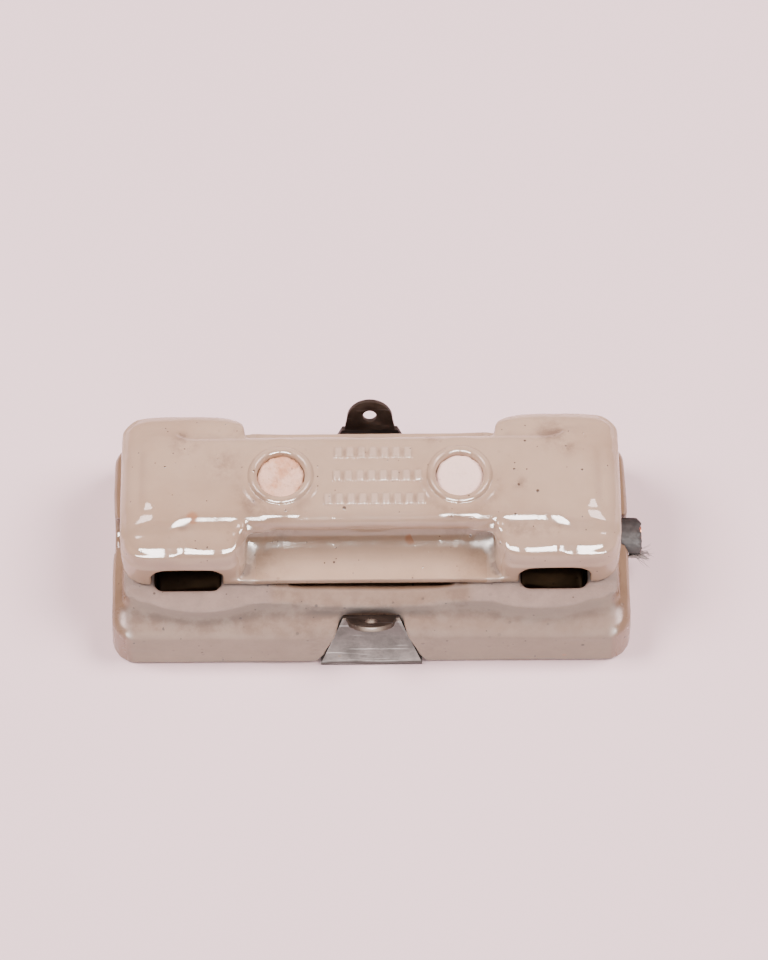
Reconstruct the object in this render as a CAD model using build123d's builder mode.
from build123d import *
import os
from math import cos, radians, sin

# Porcelain rewirable fuse unit: a glazed base with two contacts, and a plug-in carrier with the fuse wire.
# +X runs along the unit, +Y points to the back, +Z is up. The origin is the centre of the base's
# underside. All sizes are in millimetres.

os.makedirs("parts", exist_ok=True)

# ---- driving dimensions -------------------------------------------------------------------------
plinth_length = 130.0
plinth_depth = 56.0
plinth_height = 14.5
plinth_corner = 6.5
plinth_edge = 2.4
plinth_draft = 2.0  # degrees

tier_length = 123.0
tier_front = -21.6  # the front ledge is deep enough for the clip's ear
tier_back = 25.6
tier_top = 20.0
tier_corner = 5.5
lobe_x = 42.0  # the tier's front lip swells in front of each well
lobe_half = 19.0
lobe_depth = 8.0
lobe_proud = 1.9
scoop_half = 25.0  # half-length of the shallow dip in the middle of the lip
scoop_drop = 1.5

contact_x = 45.4  # contacts, wells and carrier blades stand at +X and -X
well_width = 16.2
well_front = -17.4
well_back = 19.4
well_floor = 5.6
pocket_half = 22.0
pocket_front = -15.6
pocket_back = 21.0
pocket_floor = 13.6
floor_screw_y = 8.3  # screws through the well floors hold the contacts
floor_screw_sink = 3.6
mounting_hole_x = 17.0

cable_y = 1.6
cable_z = 10.6
entry_radius = 5.2
sheath_radius = 4.55
insulation_radius = 3.3
strand_radius = 0.84
cable_end = 67.9

seat_gap = 0.3
carrier_y = 4.6  # the carrier stands over the back of the tier
carrier_length = 123.4
carrier_half = 20.8
carrier_bottom = tier_top + seat_gap
carrier_top = 38.3
shoulder_drop = 1.5
shoulder_radius = 6.5
block_inner = 31.0
block_outer_corner = 6.6
block_inner_corner = 4.8
block_end_radius = 5.0
grip_half = 12.4
rim_radius = 4.0  # the roll over the top of the rim
rim_under = 2.0  # the tighter roll under it
crown_end = 57.6  # the crown runs out over the blocks and spreads at its ends
crown_flare = 15.0
flare_start = 43.0
flare_end = 52.0
crown_corner = 5.0
neck_half = 9.2
flange_top = 22.6
neck_z = 30.6
neck_top = 31.5
wall = 5.4
ceiling_z = 30.0
channel_half = 5.0
arch_width = 17.6
arch_height = 7.2
arch_corner = 4.2

disc_x = 22.0
disc_radius = 5.8
disc_floor = 33.3
disc_sink = 0.45
bead_ring = 6.95  # radius of the bead's centre line
bead_radius = 1.15
bead_proud = 0.8

sheet = 1.2  # clip thickness
clip_width = 25.4
clip_shoulder = 14.0
clip_gap = 0.2
strap_length = 57.4
arm_root = 0.2  # the height at which the arms leave the strap
front_arm_y, front_arm_length = -27.6, 15.3
back_arm_y, back_arm_length = 28.2, 14.5
front_arm_lean, back_arm_lean = 22.0, -9.0  # degrees that each outward face tips up
front_ear_lean, back_ear_lean = -46.0, -22.0
ear_length = 9.0
ear_radius = 5.8
ear_root = 6.4
ear_hole_radius = 1.75
ear_hole_inset = 4.6
notch_y = 27.45
notch_length = 16.2
notch_margin = 0.5

blade_thickness = 1.6
blade_half = 5.5
blade_bottom = 16.6
foot_inner = 16.6
foot_half = 4.5
wire_screw_x = 31.0
wire_radius = 0.45
wire_low = 24.7

screw_radius = 2.0
running_gap = 0.05
contact_half_x = 7.6
contact_front = -4.4
contact_back = 11.6
contact_top = 15.2
clamp_offset = 5.0
jaw_top = 25.0
jaw_cheek = 1.3
slot_half = blade_thickness / 2 + running_gap
tunnel_radius = 3.2
seal_radius = 4.5
seal_thickness = 1.3
seal_sink = 0.3
clip_screw_head = (3.6, 2.6)  # each screw head's radius and height
clamp_screw_head = (2.55, 2.3)
wire_screw_head = (2.9, 2.2)
blade_screw_head = (4.0, 2.2)
head_overlap = 0.3  # each shank starts this far inside its head
clamp_shank = 2.2
wire_shank_radius, wire_shank = 1.75, 3.4
washer_radius, washer_bore, washer_thickness = 3.3, 1.85, 0.75
washer_low = 26.7
nut_radius, nut_thickness, nut_low = 4.0, 2.0, 26.4
tube_half, tube_radius, tube_bore = 14.0, 2.6, 1.2
collar_x, collar_thickness, collar_low = 12.5, 3.0, 21.0
spring_low, spring_height, spring_front, spring_back = 19.4, 4.2, 4.9, 11.7
spring_half_thickness, spring_gap, spring_bend = 0.3, 0.35, 1.2
sheath_start, insulation_start, conductor_start = 55.4, 53.4, 39.4
far = 70.0  # a length that reaches past the whole unit
half_turn = cos(radians(45))

SIDES = {"left": -1, "right": 1}


def finish(part, name):
    """Label a finished piece and write it as its own file."""
    part.label = name
    export_step(part, f"parts/{name}.step")


def slotted_head(radius, height, slot=1.0, depth=1.1):
    """A cheese head on the current plane: its flat underside at the plane, its slot cut in the top."""
    with BuildPart(mode=Mode.PRIVATE) as head:
        Cylinder(radius, height, align=(Align.CENTER, Align.CENTER, Align.MIN))
        top_rim = head.edges().group_by(Axis.Z)[-1]
        fillet(top_rim, 0.4)
        with Locations((0, 0, height - depth / 2)):
            Box(2 * radius + 1, slot, depth, mode=Mode.SUBTRACT)
    return head.part


def leaning_plane(origin, outward, lean):
    """A plane facing the back (outward 1) or the front (-1), its normal tipped up by lean degrees."""
    normal = (0, outward * cos(radians(lean)), sin(radians(lean)))
    return Plane(origin=origin, x_dir=(-outward, 0, 0), z_dir=normal)


# ---- porcelain base -----------------------------------------------------------------------------
with BuildPart() as base:
    with BuildSketch():
        RectangleRounded(plinth_length, plinth_depth, plinth_corner)
    extrude(amount=plinth_height, taper=plinth_draft)
    fillet(base.edges().group_by(Axis.Z)[-1], plinth_edge)

    # the upper tier, with a shallow dip in the middle of its front lip
    tier_depth = tier_back - tier_front
    tier_middle = (tier_back + tier_front) / 2
    with BuildSketch(Plane.XY.offset(plinth_height - 2)):
        with Locations((0, tier_middle)):
            RectangleRounded(tier_length, tier_depth, tier_corner)
        with Locations(*[(side * lobe_x, tier_front - lobe_proud + lobe_depth) for side in SIDES.values()]):
            Ellipse(lobe_half, lobe_depth)
    extrude(amount=tier_top - plinth_height + 2)
    fillet(base.edges().group_by(Axis.Z)[-1], 0.8)
    scoop_radius = (scoop_half**2 + scoop_drop**2) / (2 * scoop_drop)
    with BuildSketch(Plane.XZ.offset(-pocket_front)):
        with Locations((0, tier_top - scoop_drop + scoop_radius)):
            Circle(scoop_radius)
    extrude(amount=pocket_front - tier_front + lobe_depth, mode=Mode.SUBTRACT)

    # wells for the contacts, cable entries through the ends, and the shallow pocket under the fuse wire
    for side in SIDES.values():
        well_x = side * contact_x
        with BuildSketch(Plane.XY.offset(well_floor)):
            with Locations((well_x, (well_front + well_back) / 2)):
                RectangleRounded(well_width, well_back - well_front, 2.0)
        extrude(amount=tier_top, mode=Mode.SUBTRACT)
        with BuildSketch(Plane.YZ.offset(side * (contact_x + well_width / 2))):
            with Locations((cable_y, cable_z)):
                Circle(entry_radius)
        extrude(amount=side * 30, mode=Mode.SUBTRACT)
        with Locations((well_x, floor_screw_y, 0)):
            Cylinder(screw_radius + 0.1, 2 * well_floor + 1, mode=Mode.SUBTRACT)
            Cylinder(seal_radius, 2 * floor_screw_sink, mode=Mode.SUBTRACT)
    with BuildSketch(Plane.XY.offset(pocket_floor)):
        with Locations((0, (pocket_front + pocket_back) / 2)):
            RectangleRounded(2 * pocket_half, pocket_back - pocket_front, 3.0)
    extrude(amount=tier_top, mode=Mode.SUBTRACT)

    # fixing holes, countersunk from the pocket, and the clip's screw hole
    with Locations(*[(side * mounting_hole_x, 0, pocket_floor) for side in SIDES.values()]):
        CounterSinkHole(2.4, 4.6)
    with Locations((0, 0, pocket_floor)):
        CounterBoreHole(2.1, 4.2, 3.0)

    # groove under the base for the clip's strap, and the leaning notches for its two arms
    strap_groove = sheet + 2 * clip_gap
    with Locations((0, 0, strap_groove / 2)):
        Box(clip_width + 1.0, plinth_depth + 10, strap_groove, mode=Mode.SUBTRACT)
    notch_wide = clip_width / 2 + notch_margin
    notch_narrow = clip_shoulder / 2 + notch_margin
    for outward in (-1, 1):
        with BuildSketch(leaning_plane((0, outward * notch_y, 0), outward, front_arm_lean)):
            with BuildLine():
                Polyline(
                    (-notch_wide, -3),
                    (notch_wide, -3),
                    (notch_wide, 0),
                    (notch_narrow, notch_length),
                    (-notch_narrow, notch_length),
                    (-notch_wide, 0),
                    close=True,
                )
            make_face()
        extrude(amount=9, mode=Mode.SUBTRACT)
finish(base.part, "base_body")


# ---- steel U clip -------------------------------------------------------------------------------
def clip_arm(outward, root_y, arm_length, arm_lean, ear_lean):
    """A trapezoid arm that leans with the base, and the round-ended ear with a hole bent from its top."""
    plane = leaning_plane((0, root_y, arm_root), outward, arm_lean)
    ear_plane = leaning_plane(plane.from_local_coords((0, arm_length, 0)), outward, ear_lean)
    with BuildPart(mode=Mode.PRIVATE) as arm:
        with BuildSketch(plane):
            with BuildLine():
                Polyline(
                    (-clip_width / 2, 0),
                    (clip_width / 2, 0),
                    (clip_shoulder / 2, arm_length),
                    (-clip_shoulder / 2, arm_length),
                    close=True,
                )
            make_face()
        extrude(amount=sheet)
        with BuildSketch(ear_plane):
            with BuildLine():
                Polyline(
                    (-ear_radius, ear_length - ear_radius),
                    (-ear_root, 0),
                    (ear_root, 0),
                    (ear_radius, ear_length - ear_radius),
                )
                ThreePointArc((ear_radius, ear_length - ear_radius), (0, ear_length),
                              (-ear_radius, ear_length - ear_radius))
            make_face()
            with Locations((0, ear_length - ear_hole_inset)):
                Circle(ear_hole_radius, mode=Mode.SUBTRACT)
        extrude(amount=sheet)
    return arm.part


with BuildPart() as clip:
    with Locations((0, 0, clip_gap + sheet / 2)):
        Box(clip_width, strap_length, sheet)
    add(clip_arm(-1, front_arm_y, front_arm_length, front_arm_lean, front_ear_lean))
    add(clip_arm(1, back_arm_y, back_arm_length, back_arm_lean, back_ear_lean))
    with Locations((0, 0, sheet)):
        Cylinder(screw_radius + running_gap, 6, mode=Mode.SUBTRACT)
finish(clip.part, "mounting_clip")

with BuildPart(Plane.XY.offset(pocket_floor - 3.0)) as clip_screw:
    add(slotted_head(*clip_screw_head))
    with Locations((0, 0, head_overlap)):
        clip_shank = pocket_floor - 3.0 - head_overlap
        Cylinder(screw_radius, clip_shank, align=(Align.CENTER, Align.CENTER, Align.MAX))
finish(clip_screw.part, "clip_screw")


# ---- contacts in the wells ----------------------------------------------------------------------
for side_name, side in SIDES.items():
    here = side * contact_x

    # cast brass terminal with its cable tunnel and the two upright cheeks that grip the blade
    with BuildPart() as contact:
        contact_middle = (contact_front + contact_back) / 2
        with Locations((here, contact_middle, (well_floor + contact_top) / 2)):
            Box(2 * contact_half_x, contact_back - contact_front, contact_top - well_floor)
        fillet(contact.edges().filter_by(Axis.Z), 1.5)
        for cheek in (-1, 1):
            cheek_x = here + cheek * (slot_half + jaw_cheek / 2)
            with BuildSketch(Plane.YZ.offset(cheek_x - jaw_cheek / 2)):
                with Locations((carrier_y + 0.6, contact_top)):
                    Rectangle(10.8, jaw_top - contact_top, align=(Align.CENTER, Align.MIN))
            extrude(amount=jaw_cheek)
        with BuildSketch(Plane.YZ.offset(here - contact_half_x - 1)):
            with Locations((cable_y, cable_z)):
                Circle(tunnel_radius)
        extrude(amount=2 * contact_half_x + 2, mode=Mode.SUBTRACT)
        with Locations(*[(here + k * clamp_offset, cable_y, contact_top) for k in (-1, 1)]):
            Cylinder(screw_radius + running_gap, 2 * (contact_top - cable_z), mode=Mode.SUBTRACT)
        with Locations((here, floor_screw_y, well_floor)):
            Cylinder(screw_radius, 13, mode=Mode.SUBTRACT)
    finish(contact.part, f"{side_name}_base_contact")

    # bent steel spring that hugs the cheeks from the back
    with BuildPart() as spring:
        grip = slot_half + jaw_cheek + spring_gap
        with BuildSketch(Plane.XY.offset(spring_low)):
            with BuildLine():
                rail = FilletPolyline(
                    (here - grip, spring_front),
                    (here - grip, spring_back),
                    (here + grip, spring_back),
                    (here + grip, spring_front),
                    radius=spring_bend,
                )
                offset(rail, amount=spring_half_thickness, side=Side.BOTH, closed=True)
            make_face()
        extrude(amount=spring_height)
    finish(spring.part, f"{side_name}_jaw_spring")

    # clamp screws, run down to just above the conductor
    for place, k in (("inner", -side), ("outer", side)):
        with BuildPart(Plane((here + k * clamp_offset, cable_y, contact_top + 0.4))) as clamp:
            add(slotted_head(*clamp_screw_head))
            with Locations((0, 0, head_overlap)):
                Cylinder(screw_radius, clamp_shank, align=(Align.CENTER, Align.CENTER, Align.MAX))
        finish(clamp.part, f"{side_name}_{place}_clamp_screw")

# screws through the floor that hold the contacts, and the pitch that seals them in
with BuildPart() as contact_screws:
    for side in SIDES.values():
        seal_face = seal_sink + seal_thickness
        with Locations((side * contact_x, floor_screw_y, seal_face)):
            Cylinder(clip_screw_head[0], floor_screw_sink - seal_face,
                     align=(Align.CENTER, Align.CENTER, Align.MIN))
            Cylinder(screw_radius, 10.2, align=(Align.CENTER, Align.CENTER, Align.MIN))
finish(contact_screws.part, "contact_fixing_screws")

with BuildPart() as pitch:
    for side in SIDES.values():
        with Locations((side * contact_x, floor_screw_y, seal_sink)):
            Cylinder(seal_radius, seal_thickness, align=(Align.CENTER, Align.CENTER, Align.MIN))
finish(pitch.part, "underside_seals")


# ---- cut-off supply cable in the right-hand entry -----------------------------------------------
def tube_along_x(outer, inner, start, end):
    """A round tube along X on the cable's line."""
    with BuildPart(mode=Mode.PRIVATE) as tube:
        with BuildSketch(Plane.YZ.offset(start)):
            with Locations((cable_y, cable_z)):
                Circle(outer)
                Circle(inner, mode=Mode.SUBTRACT)
        extrude(amount=end - start)
    return tube.part


with BuildPart() as sheath:
    add(tube_along_x(sheath_radius, insulation_radius, sheath_start, cable_end))
finish(sheath.part, "cable_sheath")

strand_pitch = 2 * strand_radius
with BuildPart() as insulation:
    bundle_radius = strand_pitch + strand_radius + 0.02
    add(tube_along_x(insulation_radius, bundle_radius, insulation_start, cable_end + 0.1))
finish(insulation.part, "cable_insulation")

with BuildPart() as conductor:
    with BuildSketch(Plane.YZ.offset(conductor_start)):
        with Locations((cable_y, cable_z)):
            Circle(strand_radius + 0.01)
            with PolarLocations(strand_pitch, 6):
                Circle(strand_radius + 0.01)
    extrude(amount=cable_end + 0.2 - conductor_start)
finish(conductor.part, "cable_conductor")

with BuildPart() as tape:
    tape_root = (65.4, cable_y - 3.4, cable_z - 3.4)
    with BuildSketch(Plane(origin=tape_root, x_dir=(1, 0, 0), z_dir=(0, -0.6, -0.8))):
        with BuildLine():
            Polyline((0, -1.6), (3.9, -2.2), (2.6, 0.4), (3.4, 1.2), (0, 2.4), close=True)
        make_face()
    extrude(amount=0.5)
finish(tape.part, "cable_tape")


# ---- porcelain carrier --------------------------------------------------------------------------
def end_block(side):
    """One end of the carrier: a rounded block whose long top edges fall away in big soft shoulders."""
    block_top = carrier_top - shoulder_drop
    length = carrier_length / 2 - block_inner
    middle = side * (block_inner + length / 2)
    inner_end, outer_end = (0, -1) if side > 0 else (-1, 0)
    with BuildPart(mode=Mode.PRIVATE) as block:
        with BuildSketch(Plane.XY.offset(carrier_bottom)) as plan:
            with Locations((middle, carrier_y)):
                Rectangle(length, 2 * carrier_half)
            fillet(plan.vertices().group_by(Axis.X)[outer_end], block_outer_corner)
            fillet(plan.vertices().group_by(Axis.X)[inner_end], block_inner_corner)
        extrude(amount=block_top - carrier_bottom)
        with BuildSketch(Plane.YZ.offset(-far)) as cross:
            with Locations((carrier_y, carrier_bottom)):
                Rectangle(2 * carrier_half, block_top - carrier_bottom, align=(Align.CENTER, Align.MIN))
            fillet(cross.vertices().group_by(Axis.Y)[-1], shoulder_radius)
        extrude(amount=2 * far, mode=Mode.INTERSECT)
        with BuildSketch(Plane.XZ.offset(-far)) as along:
            with Locations((middle, carrier_bottom)):
                Rectangle(length, block_top - carrier_bottom, align=(Align.CENTER, Align.MIN))
            fillet(along.vertices().group_by(Axis.Y)[-1].sort_by(Axis.X)[outer_end], block_end_radius)
        extrude(amount=2 * far, mode=Mode.INTERSECT)
    return block.part


def grip_half_outline(direction):
    """Points of one side of the grip: flange, cove, neck and bullnose rim."""
    def at(out, height):
        return (carrier_y + direction * out, height)

    rim_out = grip_half - rim_radius
    under_out = grip_half - rim_under
    rim_z = carrier_top - rim_radius
    cove_height = neck_z - flange_top
    cove_reach = carrier_half - neck_half
    cove_radius = (cove_reach**2 + cove_height**2) / (2 * cove_reach)
    cove_x = neck_half + cove_radius
    cove_middle = (cove_x - cove_radius * half_turn, neck_z - cove_radius * half_turn)
    Line((carrier_y, carrier_bottom), at(carrier_half, carrier_bottom))
    Line(at(carrier_half, carrier_bottom), at(carrier_half, flange_top))
    ThreePointArc(at(carrier_half, flange_top), at(*cove_middle), at(neck_half, neck_z))
    Line(at(neck_half, neck_z), at(neck_half, neck_top))
    Line(at(neck_half, neck_top), at(under_out, rim_z - rim_under))
    ThreePointArc(
        at(under_out, rim_z - rim_under),
        at(under_out + rim_under * half_turn, rim_z - rim_under * half_turn),
        at(grip_half, rim_z),
    )
    ThreePointArc(
        at(grip_half, rim_z),
        at(rim_out + rim_radius * half_turn, rim_z + rim_radius * half_turn),
        at(rim_out, carrier_top),
    )
    Line(at(rim_out, carrier_top), (carrier_y, carrier_top))


def grip_crown():
    """The flat crown over the grip: it runs out over the blocks and spreads at its two ends."""
    crown_low = carrier_top - rim_radius - 1
    with BuildPart(mode=Mode.PRIVATE) as crown:
        with BuildSketch(Plane((0, carrier_y, crown_low))):
            with BuildLine():
                Line((0, grip_half), (flare_start, grip_half))
                Spline((flare_start, grip_half), (flare_end, crown_flare), tangents=((1, 0), (1, 0)))
                Line((flare_end, crown_flare), (crown_end - crown_corner, crown_flare))
                RadiusArc((crown_end - crown_corner, crown_flare), (crown_end, crown_flare - crown_corner),
                          crown_corner)
                Line((crown_end, crown_flare - crown_corner), (crown_end, 0))
                mirror(about=Plane.XZ)
                mirror(about=Plane.YZ)
            make_face()
        extrude(amount=carrier_top - crown_low)
        fillet(crown.edges().group_by(Axis.Z)[-1], rim_radius)
    return crown.part


with BuildPart() as carrier:
    for side in SIDES.values():
        add(end_block(side))
    with BuildSketch(Plane.YZ.offset(-block_inner - 4)):
        with BuildLine():
            grip_half_outline(-1)
            grip_half_outline(1)
        make_face()
    extrude(amount=2 * (block_inner + 4))

    add(grip_crown())

    # chambers over the wells, the channel for the fuse wire, and the arches in the front and back walls
    for side in SIDES.values():
        chamber_inner, chamber_outer = 35.6, carrier_length / 2 - wall
        with BuildSketch(Plane.XY.offset(carrier_bottom)):
            with Locations((side * (chamber_inner + chamber_outer) / 2, carrier_y)):
                RectangleRounded(chamber_outer - chamber_inner, 2 * (carrier_half - wall), 2.0)
        extrude(amount=ceiling_z - carrier_bottom, mode=Mode.SUBTRACT)
        with BuildSketch(Plane.XZ.offset(-far)) as arch:
            with Locations((side * contact_x, carrier_bottom - 3)):
                Rectangle(arch_width, arch_height + 3, align=(Align.CENTER, Align.MIN))
            fillet(arch.vertices().group_by(Axis.Y)[-1], arch_corner)
        extrude(amount=2 * far, mode=Mode.SUBTRACT)
    with Locations((0, carrier_y, carrier_bottom)):
        Box(73, 2 * channel_half, ceiling_z - carrier_bottom, align=(Align.CENTER, Align.CENTER, Align.MIN),
            mode=Mode.SUBTRACT)

    # raised beads round the sealed screw holes
    for side in SIDES.values():
        with Locations((side * disc_x, carrier_y, carrier_top + bead_proud - bead_radius)):
            Torus(bead_ring, bead_radius)
        with Locations((side * disc_x, carrier_y, disc_floor)):
            Cylinder(disc_radius, 10, align=(Align.CENTER, Align.CENTER, Align.MIN), mode=Mode.SUBTRACT)
            Cylinder(screw_radius + 0.2, 20, mode=Mode.SUBTRACT)
finish(carrier.part, "carrier_body")


# ---- carrier contacts and fuse wire -------------------------------------------------------------
for side_name, side in SIDES.items():
    foot_bottom = ceiling_z - blade_thickness
    with BuildPart() as blade:
        with BuildSketch(Plane.XZ.offset(-carrier_y - foot_half)):
            with BuildLine():
                outer_x = contact_x + blade_thickness / 2
                inner_x = contact_x - blade_thickness / 2
                Polyline(
                    (side * foot_inner, ceiling_z),
                    (side * outer_x, ceiling_z),
                    (side * outer_x, blade_bottom),
                    (side * inner_x, blade_bottom),
                    (side * inner_x, foot_bottom),
                    (side * foot_inner, foot_bottom),
                    close=True,
                )
            make_face()
        extrude(amount=2 * foot_half)
        with Locations((side * contact_x, carrier_y, (blade_bottom + 27.4) / 2)):
            Box(blade_thickness, 2 * blade_half, 27.4 - blade_bottom)
        chamfer(blade.edges().group_by(Axis.Z)[0].filter_by(Axis.Y), 0.4)
        with Locations((side * disc_x, carrier_y, ceiling_z)):
            Cylinder(screw_radius + running_gap, 8, mode=Mode.SUBTRACT)
        with Locations((side * wire_screw_x, carrier_y, ceiling_z)):
            Cylinder(1.8, 8, mode=Mode.SUBTRACT)
    finish(blade.part, f"{side_name}_blade")

    with BuildPart(Plane.XY.offset(disc_floor + 2.3)) as seal:
        with Locations((side * disc_x, carrier_y, 0)):
            Cylinder(disc_radius, carrier_top - disc_sink - disc_floor - 2.3,
                     align=(Align.CENTER, Align.CENTER, Align.MIN))
    finish(seal.part, f"{side_name}_seal_disc")

    head_seat = Plane(origin=(side * wire_screw_x, carrier_y, foot_bottom - 1.8), z_dir=(0, 0, -1))
    with BuildPart(head_seat) as wire_screw:
        add(slotted_head(*wire_screw_head))
        with Locations((0, 0, head_overlap)):
            Cylinder(wire_shank_radius, wire_shank, align=(Align.CENTER, Align.CENTER, Align.MAX))
    finish(wire_screw.part, f"{side_name}_wire_screw")

with BuildPart() as blade_screws:
    for side in SIDES.values():
        with Locations((side * disc_x, carrier_y, disc_floor)):
            Cylinder(*blade_screw_head, align=(Align.CENTER, Align.CENTER, Align.MIN))
            Cylinder(screw_radius, disc_floor - 25.9, align=(Align.CENTER, Align.CENTER, Align.MAX))
finish(blade_screws.part, "blade_fixing_screws")

with BuildPart() as nuts:
    with BuildSketch(Plane.XY.offset(nut_low)):
        with Locations((-disc_x, carrier_y), (disc_x, carrier_y)):
            RegularPolygon(nut_radius, 6)
            Circle(screw_radius, mode=Mode.SUBTRACT)
    extrude(amount=nut_thickness)
finish(nuts.part, "blade_nuts")

with BuildPart() as washers:
    with BuildSketch(Plane.XY.offset(washer_low)):
        with Locations((-wire_screw_x, carrier_y), (wire_screw_x, carrier_y)):
            Circle(washer_radius)
            Circle(washer_bore, mode=Mode.SUBTRACT)
    extrude(amount=washer_thickness)
finish(washers.part, "wire_washers")

with BuildPart() as fuse_wire:
    wire_y = carrier_y - 2.5
    wire_high = 28.4 - wire_radius - 0.02
    with BuildLine() as wire_path:
        FilletPolyline(
            (-33.6, wire_y, wire_high),
            (-27.0, wire_y, wire_high),
            (-24.6, carrier_y - 1.2, wire_low),
            (-18.0, carrier_y, wire_low),
            (18.0, carrier_y, wire_low),
            (24.6, carrier_y - 1.2, wire_low),
            (27.0, wire_y, wire_high),
            (33.6, wire_y, wire_high),
            radius=1.2,
        )
    with BuildSketch(Plane(wire_path.line @ 0, z_dir=wire_path.line % 0)):
        Circle(wire_radius)
    sweep()
finish(fuse_wire.part, "fuse_wire")

with BuildPart() as arc_tube:
    with BuildSketch(Plane.YZ.offset(-tube_half)):
        with Locations((carrier_y, wire_low)):
            Circle(tube_radius)
    extrude(amount=2 * tube_half)
    for side in SIDES.values():
        with Locations((side * collar_x, carrier_y, (collar_low + ceiling_z) / 2)):
            Box(collar_thickness, 2 * channel_half, ceiling_z - collar_low)
    with BuildSketch(Plane.YZ.offset(-tube_half - 1)):
        with Locations((carrier_y, wire_low)):
            Circle(tube_bore)
    extrude(amount=2 * tube_half + 2, mode=Mode.SUBTRACT)
finish(arc_tube.part, "arc_tube")
